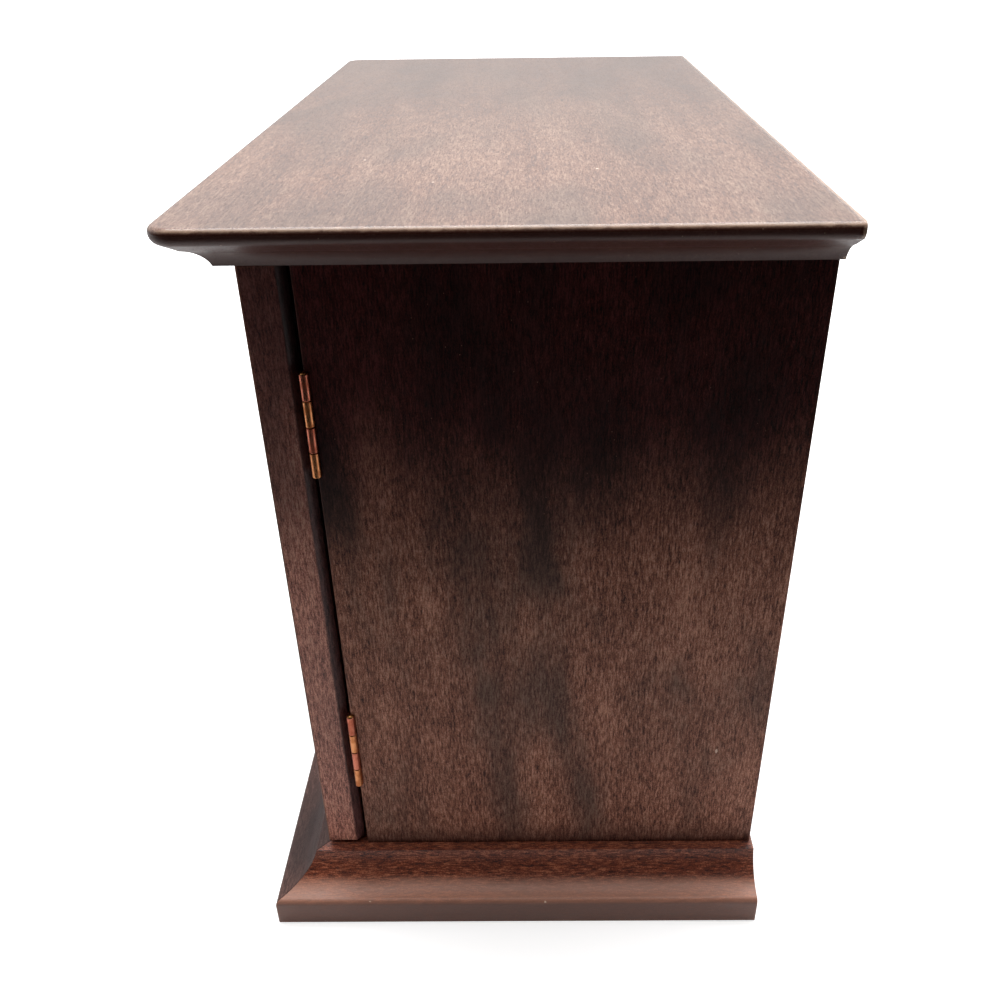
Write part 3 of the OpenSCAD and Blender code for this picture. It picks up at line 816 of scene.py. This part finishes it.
@dataclass
class Board:
    """A flat wooden piece with softly rounded arrises, made from its CAD node.

    Attributes:
        node: The CAD node, and the piece's name with "soft_" before it.
        body: The CAD body that it rides on.
        finish: Its wood.
        grain: Which way its fibres run.
        seed: Picks the part of the pattern that it shows.
        arris: Width of the rounding.
        marks: Its nicks and spots.
    """

    node: str
    body: str
    finish: WoodFinish
    grain: Grain
    seed: float
    arris: float = 0.35 * MM
    marks: tuple[Mark, ...] = ()

    @cached_property
    def box(self) -> Box:
        """The piece's lowest and highest corner."""
        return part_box(self.node)

    def is_arris(self, edge: Edge) -> bool:
        """True if the edge is rounded. A board has its box's twelve edges rounded, and parts of them."""
        shared = 0
        for axis in range(3):
            for corner in self.box:
                shared += all(abs(vert.co[axis] - corner[axis]) < ON_FACE for vert in edge.verts)
        return shared >= 2

    def round_edges(self, mesh: Mesh) -> None:
        """Rounds the piece's arrises."""
        soften(mesh, self.arris, self.is_arris)

    def build(self) -> None:
        """Makes the piece."""
        mesh = merged_copy(self.node)
        self.round_edges(mesh)
        material = self.finish.material(self.node, self.grain, self.box, self.seed, self.marks)
        finish_piece(mesh, f"soft_{self.node}", self.body, material, [self.node])


@dataclass
class HingeStile(Board):
    """A stile with a chamfer down its back edge, where the barrels of the hinges stand."""

    def is_arris(self, edge: Edge) -> bool:
        """True for a sharp edge that runs the whole height, or lies in an end."""
        low, high = self.box
        heights = [vert.co.z for vert in edge.verts]
        upright = abs(heights[0] - heights[1]) > 0.9 * (high.z - low.z)
        in_end = any(all(abs(height - end.z) < ON_FACE for height in heights) for end in (low, high))
        return (upright or in_end) and edge.calc_face_angle(0.0) > STILE_ANGLE


@dataclass
class DoorPanel(Board):
    """The raised panel of a door, whose bevel and field have soft edges."""

    def is_arris(self, edge: Edge) -> bool:
        """True for the long edges round the field and the bevel."""
        return edge.calc_length() > 20 * MM and edge.calc_face_angle(0.0) > BEVEL_ANGLE


@dataclass
class Moulding(Board):
    """A length of the base, whose arrises are its CAD node's, with a fine line at each mitre.

    Attributes:
        mitre: Width of the bevel round the mitred ends.
    """

    mitre: float = 0.16 * MM

    @cached_property
    def front(self) -> Box:
        """The front moulding's lowest and highest corner, where both mitres start."""
        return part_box("base_moulding_front")

    def is_arris(self, edge: Edge) -> bool:
        """True for an edge that lies in the plane of a mitre."""
        low, high = self.front
        spots = (vert.co for vert in edge.verts)
        return all(abs((high.x - abs(spot.x)) - (spot.y - low.y)) < ON_MITRE for spot in spots)

    def round_edges(self, mesh: Mesh) -> None:
        """Bevels the mitred ends."""
        soften(mesh, self.mitre, self.is_arris, 1)


@dataclass
class TopBoard:
    """The top board: a hollow and a nose run along its front and sides, and its back is square.

    Attributes:
        half_width: Half of the case's width.
        front: Y of the doors' front.
        back: Y of the case's back.
        underside: Height of the underside.
        thick: Thickness of the board.
        overhang: How far the nose stands out.
        foot: How far the underside stands out.
        hollow: Width and height of the hollow.
        hollow_radius: Radius of the hollow.
        hollow_steps: How many faces the hollow has.
        nose_height: Height of the nose.
        low_radius: Radius of the nose's lower arris.
        top_radius: Radius of the nose's upper arris.
        rim: Width of the flat ring round the top face.
        corner: Radius of the front corners at the foot.
        corner_steps: How many faces each front corner has.
        back_arris: Width of the rounding of the back's long arrises.
    """

    half_width: float = 160.0 * MM
    front: float = -78.3 * MM
    back: float = 97.8 * MM
    underside: float = 275.0 * MM
    thick: float = 14.4 * MM
    overhang: float = 18.5 * MM
    foot: float = 4.8 * MM
    hollow: Pair = (6.4 * MM, 6.2 * MM)
    hollow_radius: float = 10.0 * MM
    hollow_steps: int = 16
    nose_height: float = 5.6 * MM
    low_radius: float = 3.2 * MM
    top_radius: float = 2.0 * MM
    rim: float = 0.6 * MM
    corner: float = 0.35 * MM
    corner_steps: int = 12
    back_arris: float = 0.4 * MM

    def hollow_rings(self) -> list[Pair]:
        """The hollow's profile: how far out and how high each ring of the outline is."""
        start = Vector((self.foot, 0.0))
        end = start + Vector(self.hollow)
        chord = end - start
        left = Vector((-chord.y, chord.x)).normalized()
        half = chord.length / 2
        centre = (start + end) / 2 - left * math.sqrt(self.hollow_radius**2 - half**2)
        first = math.atan2(start.y - centre.y, start.x - centre.x)
        turn = 2 * math.asin(half / self.hollow_radius)
        angles = (first - turn * i / self.hollow_steps for i in range(self.hollow_steps + 1))
        return [tuple(centre + self.hollow_radius * Vector((math.cos(a), math.sin(a)))) for a in angles]

    def nose_rings(self) -> list[Pair]:
        """The nose's profile, from its lower arris to the top face."""
        rings = []
        for radius, rise, sweep in (
            (self.low_radius, self.thick - self.nose_height + self.low_radius, range(-68, 1, 4)),
            (self.top_radius, self.thick - self.top_radius, range(0, 91, 6)),
        ):
            for angle in map(math.radians, sweep):
                rings.append(
                    (self.overhang - radius + radius * math.cos(angle), rise + radius * math.sin(angle))
                )
        return rings + [(self.overhang - self.top_radius - self.rim, self.thick)]

    def outline(self, out: float, rise: float) -> list[Vector]:
        """The board's outline at one height. Its front corners turn round those of the hollow.

        Args:
            out: How far it stands out past the case.
            rise: How high above the underside it is.

        Returns:
            Its points, anticlockwise from the back left.
        """
        z = self.underside + rise
        x = self.half_width + out
        y = self.front - out
        radius = max(out - self.foot - self.hollow[0], 0.0) + self.corner
        points = [Vector((-x, self.back, z))]
        for sign, first in ((-1, 180), (1, 270)):
            centre = Vector((sign * (x - radius), y + radius, z))
            for i in range(self.corner_steps + 1):
                angle = math.radians(first + 90 / self.corner_steps * i)
                points.append(centre + radius * Vector((math.cos(angle), math.sin(angle), 0)))
        points.append(Vector((x, self.back, z)))
        return points

    def is_back_arris(self, edge: Edge) -> bool:
        """True for a level edge in the back."""
        first, second = edge.verts
        in_back = all(abs(vert.co.y - self.back) < SAME_POINT for vert in edge.verts)
        return in_back and abs(first.co.z - second.co.z) < SAME_POINT

    def build(self) -> None:
        """Makes the board: its lowest outline is extruded upwards, ring by ring."""
        mesh = bmesh.new()
        rings = [self.outline(*ring) for ring in self.hollow_rings() + self.nose_rings()]
        verts = [mesh.verts.new(point) for point in rings[0]]
        rim = list(mesh.faces.new(verts).edges)
        for before, ring in zip(rings, rings[1:]):
            made = bmesh.ops.extrude_edge_only(mesh, edges=rim)["geom"]
            rim = [item for item in made if isinstance(item, bmesh.types.BMEdge)]
            for vert in (item for item in made if isinstance(item, bmesh.types.BMVert)):
                vert.co = ring[min(range(len(ring)), key=lambda i: (before[i] - vert.co).length_squared)]
        bmesh.ops.contextual_create(mesh, geom=rim)
        bmesh.ops.recalc_face_normals(mesh, faces=mesh.faces)
        soften(mesh, self.back_arris, self.is_back_arris)
        material = TOP_WOOD.material("top_board", Grain.ACROSS_WIDTH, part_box("top_board"), 11.3, TOP_MARKS)
        finish_piece(mesh, "moulded_top_board", "case", material, ["top_board"])


@dataclass
class HingeLeaf:
    """One leaf of a butt hinge: a plate with rolled knuckles on every other place along the barrel.

    Attributes:
        side: Which side of the cabinet the hinge is on.
        level: "upper" or "lower".
        on_door: True for the door's leaf, and False for the case's.
        height: Height of the hinge.
        gap: Gap between neighbouring knuckles.
        barrel: Radius of the barrel.
        thick: Thickness of the plate.
        knuckles: How many knuckles both leaves have together.
        knuckle_rim: Width of the rounding at the knuckles' ends.
        plate_arris: Width of the rounding of the plate's edges.
    """

    side: Side
    level: str
    on_door: bool
    height: float = 36.6 * MM
    gap: float = 0.3 * MM
    barrel: float = 1.5 * MM
    thick: float = 0.9 * MM
    knuckles: int = 4
    knuckle_rim: float = 0.22 * MM
    plate_arris: float = 0.12 * MM

    @property
    def node(self) -> str:
        """The leaf's CAD node."""
        return f"{'door' if self.on_door else 'case'}_leaf_{self.side.word}_{self.level}"

    def build(self) -> None:
        """Makes the leaf."""
        low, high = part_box(self.node)
        sign = self.side.value
        pin_x = (high.x if sign > 0 else low.x) - sign * self.barrel
        far_x = low.x if sign > 0 else high.x
        root_x = pin_x - sign * (self.barrel + self.gap)
        pin_y = high.y - self.barrel if not self.on_door else low.y + self.barrel
        plate_y = (low.y, low.y + self.thick) if self.on_door else (high.y - self.thick, high.y)
        middle_z = (low.z + high.z) / 2
        length = (self.height - (self.knuckles - 1) * self.gap) / self.knuckles
        mesh = bmesh.new()
        self._block(mesh, (far_x, root_x), plate_y, (low.z, high.z))
        for i in range(0 if self.on_door else 1, self.knuckles, 2):
            foot = middle_z + self.height / 2 - i * (length + self.gap) - length
            self._block(mesh, (root_x, pin_x), plate_y, (foot, foot + length))
            self._knuckle(mesh, Vector((pin_x, pin_y, foot + length / 2)), length)
        finish = DOOR_LEAF_COPPER if self.on_door else CASE_LEAF_COPPER
        body = f"{self.side.word}_door" if self.on_door else "case"
        finish_piece(mesh, f"rolled_{self.node}", body, metal(finish), [self.node])

    def _knuckle(self, mesh: Mesh, centre: Vector, length: float) -> None:
        """Adds an upright knuckle with rounded rims."""
        made = bmesh.ops.create_cone(
            mesh, cap_ends=True, segments=40, radius1=self.barrel, radius2=self.barrel, depth=length,
            matrix=Matrix.Translation(centre),
        )
        edges = {edge for vert in made["verts"] for edge in vert.link_edges}
        rims = (edge for edge in edges if edge.calc_face_angle(0.0) > SHARP_ANGLE)
        bevel(mesh, rims, self.knuckle_rim, 3)

    def _block(self, mesh: Mesh, x: Pair, y: Pair, z: Pair) -> None:
        """Adds a block between those limits, with slightly rounded edges."""
        size = Vector((abs(x[1] - x[0]), abs(y[1] - y[0]), abs(z[1] - z[0])))
        centre = Vector((sum(x), sum(y), sum(z))) / 2
        matrix = Matrix.Translation(centre) @ Matrix.Diagonal((*size, 1.0))
        made = bmesh.ops.create_cube(mesh, size=1.0, matrix=matrix)
        bevel(mesh, {edge for vert in made["verts"] for edge in vert.link_edges}, self.plate_arris, 2)


@cache
def metal(finish: MetalFinish) -> bpy.types.Material:
    """The material of a metal finish, which is made once."""
    return finish.material()


def dress(material: bpy.types.Material, *nodes: str) -> None:
    """Gives the material to CAD nodes that stay as they are."""
    for node in nodes:
        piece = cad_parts[node]
        piece.data.materials.clear()
        piece.data.materials.append(material)
        LOG.info("%s: dressed", node)


# Sub-assemblies


@dataclass
class Case:
    """The case: sides, boards, shelf, back, top and what holds them together."""

    boards: list[Board] = field(
        default_factory=lambda: [
            Board("side_panel_right", "case", CASE_WOOD, Grain.UPRIGHT, 4.0, marks=SIDE_MARKS),
            Board("side_panel_left", "case", CASE_WOOD, Grain.UPRIGHT, 23.0),
            Board("inner_top", "case", CASE_WOOD, Grain.ACROSS_WIDTH, 31.0),
            Board("bottom_board", "case", CASE_WOOD, Grain.ACROSS_WIDTH, 37.0),
            Board("shelf", "case", CASE_WOOD, Grain.ACROSS_WIDTH, 41.0),
            Board("back_panel", "case", BACK_PLY, Grain.UPRIGHT, 43.0, 0.25 * MM),
        ]
    )
    top: TopBoard = field(default_factory=TopBoard)

    def build(self) -> None:
        """Makes every piece of the case."""
        self.top.build()
        for board in self.boards:
            board.build()
        for node in ("case_dowels", "base_dowels"):
            dress(DOWEL_WOOD.material(node, Grain.ACROSS_WIDTH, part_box(node), 3.0), node)
        dress(metal(ZINC), "top_screws", "base_screws", "back_nails", "catch_screws")
        dress(metal(MAGNET), "catch_magnets")
        dress(CATCH_PLASTIC.material(), "catch_housing")
        dress(metal(SCREW_BRASS), "case_leaf_screws")


@dataclass
class Base:
    """The base: three mouldings mitred at the front corners, and a rail across the back."""

    pieces: list[Board] = field(
        default_factory=lambda: [
            Moulding("base_moulding_front", "case", SHADED_BASE_FRONT_WOOD, Grain.ACROSS_WIDTH, 51.0),
            Moulding("base_moulding_right", "case", BASE_WOOD, Grain.FRONT_TO_BACK, 57.0, marks=BASE_MARKS),
            Moulding("base_moulding_left", "case", BASE_WOOD, Grain.FRONT_TO_BACK, 63.0),
            Board("base_rail_back", "case", BASE_WOOD, Grain.ACROSS_WIDTH, 67.0),
        ]
    )

    def build(self) -> None:
        """Makes every piece of the base."""
        for piece in self.pieces:
            piece.build()


@dataclass
class Hinge:
    """A butt hinge: two leaves and a pin."""

    side: Side
    level: str

    def build(self) -> None:
        """Makes both leaves and dresses the pin."""
        HingeLeaf(self.side, self.level, on_door=True).build()
        HingeLeaf(self.side, self.level, on_door=False).build()
        dress(metal(PIN_BRASS), f"hinge_pin_{self.side.word}_{self.level}")


@dataclass
class Knob:
    """A turned brass knob.

    Attributes:
        side: Which door it is on.
        points: Its outline from the door outwards: (radius, distance), both as shares of its size.
        steps: How many faces it has round its axis.
    """

    side: Side
    points: tuple[Pair, ...] = (
        (0.72, 0.0), (0.72, 0.05), (0.69, 0.075), (0.56, 0.11), (0.47, 0.17), (0.435, 0.25), (0.44, 0.33),
        (0.49, 0.41), (0.6, 0.48), (0.76, 0.54), (0.9, 0.59), (0.975, 0.645), (1.0, 0.71), (0.985, 0.78),
        (0.92, 0.85), (0.79, 0.915), (0.6, 0.962), (0.35, 0.99), (0.0, 1.0),
    )
    steps: int = 48

    def build(self) -> None:
        """Makes the knob by spinning its outline."""
        name = f"knob_{self.side.word}"
        low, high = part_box(name)
        radius = (high.x - low.x) / 2
        reach = high.y - low.y
        centre = Vector(((low.x + high.x) / 2, high.y, (low.z + high.z) / 2))
        mesh = bmesh.new()
        outline = (centre + Vector((share * radius, -out * reach, 0)) for share, out in self.points)
        verts = [mesh.verts.new(point) for point in outline]
        edges = [mesh.edges.new(pair) for pair in zip(verts, verts[1:])]
        bmesh.ops.spin(
            mesh, geom=verts + edges, cent=centre, axis=(0, 1, 0), angle=math.tau, steps=self.steps,
            use_merge=True,
        )
        bmesh.ops.remove_doubles(mesh, verts=mesh.verts, dist=SAME_POINT)
        bmesh.ops.holes_fill(mesh, edges=[edge for edge in mesh.edges if edge.is_boundary], sides=0)
        bmesh.ops.recalc_face_normals(mesh, faces=mesh.faces)
        body = f"{self.side.word}_door"
        finish_piece(mesh, f"turned_{name}", body, metal(KNOB_BRASS), [name])


@dataclass
class Door:
    """A door: a frame round a raised panel, with its knob, strike plate and hinges."""

    side: Side

    def boards(self) -> list[Board]:
        """The door's wooden pieces."""
        word = self.side.word
        body = f"{word}_door"
        start = 70.0 if self.side is Side.RIGHT else 90.0
        return [
            HingeStile(f"hinge_stile_{word}", body, LIT_DOOR_EDGE_WOOD, Grain.UPRIGHT, start),
            Board(f"meeting_stile_{word}", body, DOOR_WOOD, Grain.UPRIGHT, start + 3.1),
            Board(f"top_rail_{word}", body, DOOR_WOOD, Grain.ACROSS_WIDTH, start + 6.3),
            Board(f"bottom_rail_{word}", body, DOOR_WOOD, Grain.ACROSS_WIDTH, start + 9.7),
            DoorPanel(f"door_panel_{word}", body, DOOR_WOOD, Grain.UPRIGHT, start + 12.9),
        ]

    def build(self) -> None:
        """Makes every piece of the door, and its hinges."""
        for board in self.boards():
            board.build()
        Knob(self.side).build()
        for level in ("upper", "lower"):
            Hinge(self.side, level).build()
        word = self.side.word
        dress(metal(SCREW_BRASS), f"door_leaf_screws_{word}")
        dress(metal(ZINC), f"knob_screw_{word}", f"strike_plate_{word}", f"strike_screw_{word}")


# The studio


@dataclass
class Studio:
    """The camera, the lamp, the floor and the world.

    Attributes:
        eye: Where the camera stands.
        right: The picture's direction to the right.
        down: The picture's direction down.
        lens: The camera's lens, in millimetres.
        sensor: Width of the sensor, in millimetres.
        shift: How far the picture is shifted.
        lamp_place: Where the lamp hangs.
        lamp_target: What it faces.
        lamp_size: Its width and height, in metres.
        lamp_power: Its power, in watts.
        floor_reach: Half of the floor's width, in metres.
        floor_height: Height of the floor, a little under the base.
        floor_dark: X from which the floor is dark, and from which it is fully so.
        floor_glow: How far from the middle it starts to look quite white, and does.
        world_past: X of the directions where the world starts to be bright, and is.
        world_rise: Z of the directions where it starts to be brightest, and is.
        world_light: Its strength near the camera, and what past the cabinet adds low down and high up.
    """

    eye: Vector = field(default_factory=lambda: Vector((435.498, 7.88, 360.287)) * MM)
    right: Vector = field(default_factory=lambda: Vector((-0.00353, 0.999925, -0.011911)))
    down: Vector = field(default_factory=lambda: Vector((0.505627, -0.008483, -0.862708)))
    lens: float = 34.9039
    sensor: float = 36.0
    shift: Pair = (-0.022889, -0.015368)
    lamp_place: Point = (-0.3, 0.0, 2.0)
    lamp_target: Point = (-0.1, 0.0, 0.2)
    lamp_size: Pair = (1.5, 1.6)
    lamp_power: float = 46.0
    floor_reach: float = 30.0
    floor_height: float = -0.2 * MM
    floor_dark: Pair = (0.355, 0.37)
    floor_glow: Pair = (0.35, 1.0)
    world_past: Pair = (0.6, -0.3)
    world_rise: Pair = (0.06, 0.3)
    world_light: Point = (0.012, 0.38, 0.85)

    def build(self) -> None:
        """Sets up everything that isn't the cabinet."""
        self._camera()
        self._floor()
        self._world()
        self._lamp()
        bpy.context.scene.view_settings.view_transform = "Standard"

    def _camera(self) -> None:
        """Adds the camera at the photograph's angle."""
        data = bpy.data.cameras.new("camera")
        data.sensor_fit = "HORIZONTAL"
        data.sensor_width = self.sensor
        data.lens = self.lens
        data.shift_x, data.shift_y = self.shift
        data.clip_start = 0.01
        camera = add_object("camera", data)
        right = self.right.normalized()
        forward = self.down.cross(-right).normalized()
        up = right.cross(forward).normalized()
        turn = Matrix((right, up, -forward)).transposed().to_4x4()
        camera.matrix_world = Matrix.Translation(self.eye) @ turn
        bpy.context.scene.camera = camera

    def _lamp(self) -> None:
        """Adds the soft rectangular lamp over the cabinet."""
        data = bpy.data.lights.new("overhead_softbox", "AREA")
        data.shape = "RECTANGLE"
        data.size, data.size_y = self.lamp_size
        data.energy = self.lamp_power
        lamp = add_object("overhead_softbox", data)
        lamp.location = self.lamp_place
        way = Vector(self.lamp_target) - Vector(self.lamp_place)
        lamp.rotation_euler = way.to_track_quat("-Z", "Y").to_euler()

    def _floor(self) -> None:
        """Adds the pale floor. It is dark near the camera, except to it, and the side panel reflects that."""
        mesh = bmesh.new()
        matrix = Matrix.Translation((0.0, 0.0, self.floor_height))
        bmesh.ops.create_grid(mesh, x_segments=1, y_segments=1, size=self.floor_reach, matrix=matrix)
        floor = mesh_object("floor", mesh)
        material, graph = new_material("pale_floor")
        seen = graph.seen()
        place = graph.place()
        dark = graph.axes(place)[0].step(*self.floor_dark) * (1.0 - seen)
        colour = graph.blend(dark, (0.9, 0.9, 0.9), (0.01, 0.01, 0.01))
        paper = graph.node("ShaderNodeBsdfDiffuse", {}, {"Color": colour})
        strength = seen * (graph.length(place).step(*self.floor_glow) * 0.6 + 0.5)
        glow = graph.node("ShaderNodeEmission", {}, {"Color": (1.0, 1.0, 1.0), "Strength": strength})
        graph.surface(graph.node("ShaderNodeAddShader", {}, {0: paper.outputs[0], 1: glow.outputs[0]}))
        floor.data.materials.append(material)

    def _world(self) -> None:
        """Makes the world white to the camera, and to other rays bright only past the cabinet."""
        world = bpy.data.worlds.new("studio_world")
        world.use_nodes = True
        bpy.context.scene.world = world
        graph = Graph(world.node_tree)
        x, _, z = graph.axes(graph.node("ShaderNodeTexCoord").outputs["Generated"])
        near, low, high = self.world_light
        past = x.step(*self.world_past) * (z.step(*self.world_rise) * high + low)
        strength = (past + near).most(graph.seen())
        background = graph.node("ShaderNodeBackground", {}, {"Color": (1.0, 1.0, 1.0), "Strength": strength})
        graph.node("ShaderNodeOutputWorld", {}, {"Surface": background.outputs[0]})


def main() -> None:
    """Builds the cabinet's looks and the studio."""
    logging.basicConfig(level=logging.INFO, format="%(name)s: %(message)s")
    Case().build()
    Base().build()
    for side in Side:
        Door(side).build()
    Studio().build()


if __name__ == "__main__":
    main()
